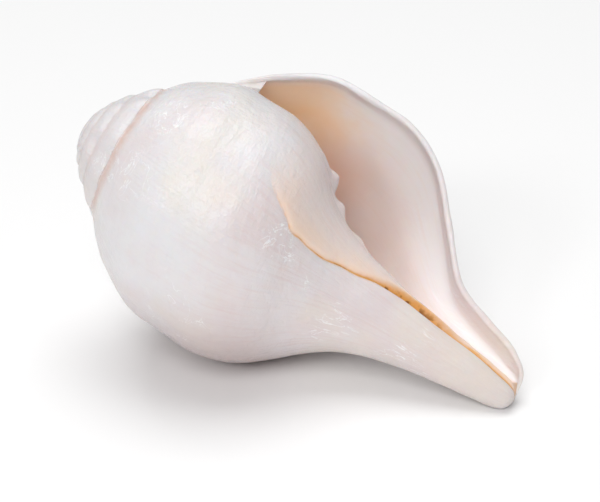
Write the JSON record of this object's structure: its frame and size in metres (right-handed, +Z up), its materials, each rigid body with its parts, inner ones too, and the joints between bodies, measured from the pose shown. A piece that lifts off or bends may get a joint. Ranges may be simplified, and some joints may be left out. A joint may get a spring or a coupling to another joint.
{
  "type": "conch shell",
  "caption": "White polished sea shell with a swollen body whorl, low knobbed spire, wide mouth and a long open canal, lying mouth up.",
  "frame": {"origin": "on the floor, below the middle of the shell's box as it lies", "axes": "+Z up from the floor, +X along the picture from spire to canal, +Y away from the viewer"},
  "size_m": [0.1462, 0.093, 0.0947],
  "materials": {
    "shell": "polished porcelain-white shell, peach callus beside the mouth, tan to lavender inside"
  },
  "bodies": {
    "root": {"shell": "shell"}
  },
  "joints": []
}
